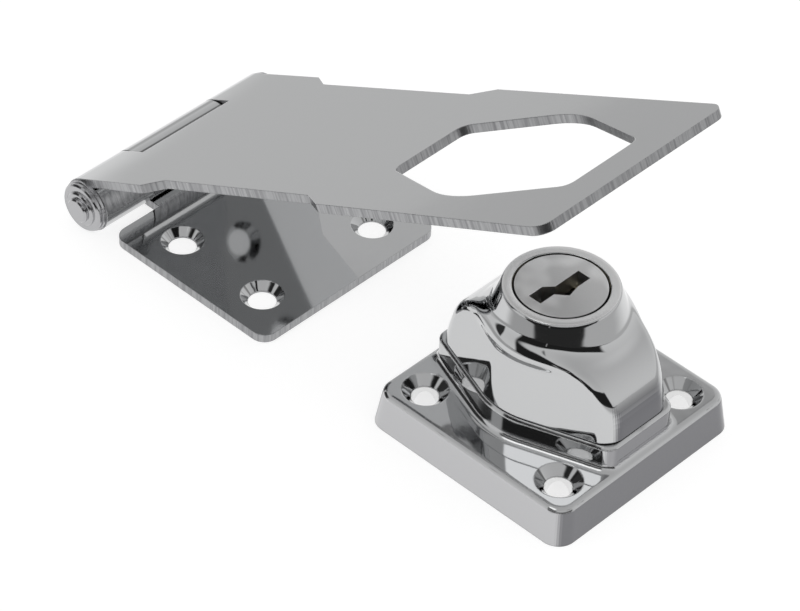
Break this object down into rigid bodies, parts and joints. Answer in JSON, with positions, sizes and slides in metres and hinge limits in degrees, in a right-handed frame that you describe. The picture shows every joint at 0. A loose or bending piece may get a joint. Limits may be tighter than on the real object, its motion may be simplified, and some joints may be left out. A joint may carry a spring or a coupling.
{
  "type": "keyed hasp lock",
  "caption": "Hinged hasp strap with a hexagonal slot, and the keyed turn-knob lock that the slot drops over; chrome-plated, for surface mounting.",
  "frame": {"origin": "on the lock's turning axis, at the mounting surface, in the middle of the base's four screw holes", "axes": "+Z away from the mounting surface, +X from the hinge to the lock, +Y along the hinge pin"},
  "size_m": [0.1087, 0.0454, 0.0586],
  "materials": {
    "plated_sheet": "bright chrome",
    "plated_casting": "bright chrome",
    "pin_steel": "turned and plated",
    "plug_face": "satin",
    "inner_brass": "machined",
    "inner_steel": "plain"
  },
  "bodies": {
    "fixed": {"hinge_leaf": "plated_sheet", "hinge_pin": "pin_steel", "pin_washer_near": "pin_steel", "pin_washer_far": "pin_steel", "lock_base": "plated_casting"},
    "strap": {"hasp_strap": "plated_sheet"},
    "knob": {"knob": "plated_casting", "cylinder_body": "inner_brass", "body_pin": "inner_steel", "stop_pin": "inner_steel", "shank_cap": "inner_steel", "disc_spring": "inner_steel", "flat_washer": "inner_steel", "snap_ring": "inner_steel"},
    "plug": {"key_plug": "plug_face", "wafer_spring_1": "inner_steel", "wafer_spring_2": "inner_steel", "wafer_spring_3": "inner_steel", "wafer_spring_4": "inner_steel", "wafer_spring_5": "inner_steel", "plug_clip": "inner_steel", "drive_cam": "inner_steel"},
    "wafers": {"wafer_1": "inner_brass", "wafer_2": "inner_brass", "wafer_3": "inner_brass", "wafer_4": "inner_brass", "wafer_5": "inner_brass"},
    "bolt": {"locking_bolt": "inner_steel"}
  },
  "joints": [
    {"name": "strap_hinge", "type": "hinge", "parent": "fixed", "child": "strap", "pos_m": [-0.08385, 0, 0.0047], "axis": [0, -1, 0], "range_deg": [-27.6, 150]},
    {"name": "knob_turn", "type": "hinge", "parent": "fixed", "child": "knob", "pos_m": [0, 0, 0.011], "axis": [0, 0, 1], "range_deg": [0, 90]},
    {"name": "key_turn", "type": "hinge", "parent": "knob", "child": "plug", "pos_m": [0, 0, 0.0282], "axis": [0, 0, 1], "range_deg": [0, 90]},
    {"name": "wafer_slide", "type": "slide", "parent": "plug", "child": "wafers", "axis": [0, 1, 0], "range_m": [0, 0.0009]},
    {"name": "bolt_slide", "type": "slide", "parent": "knob", "child": "bolt", "axis": [1, 0, 0], "range_m": [0, 0.00311]}
  ],
  "couplings": [
    {"joint": "key_turn", "follows": "bolt_slide", "rad_per_m": 504.87}
  ]
}
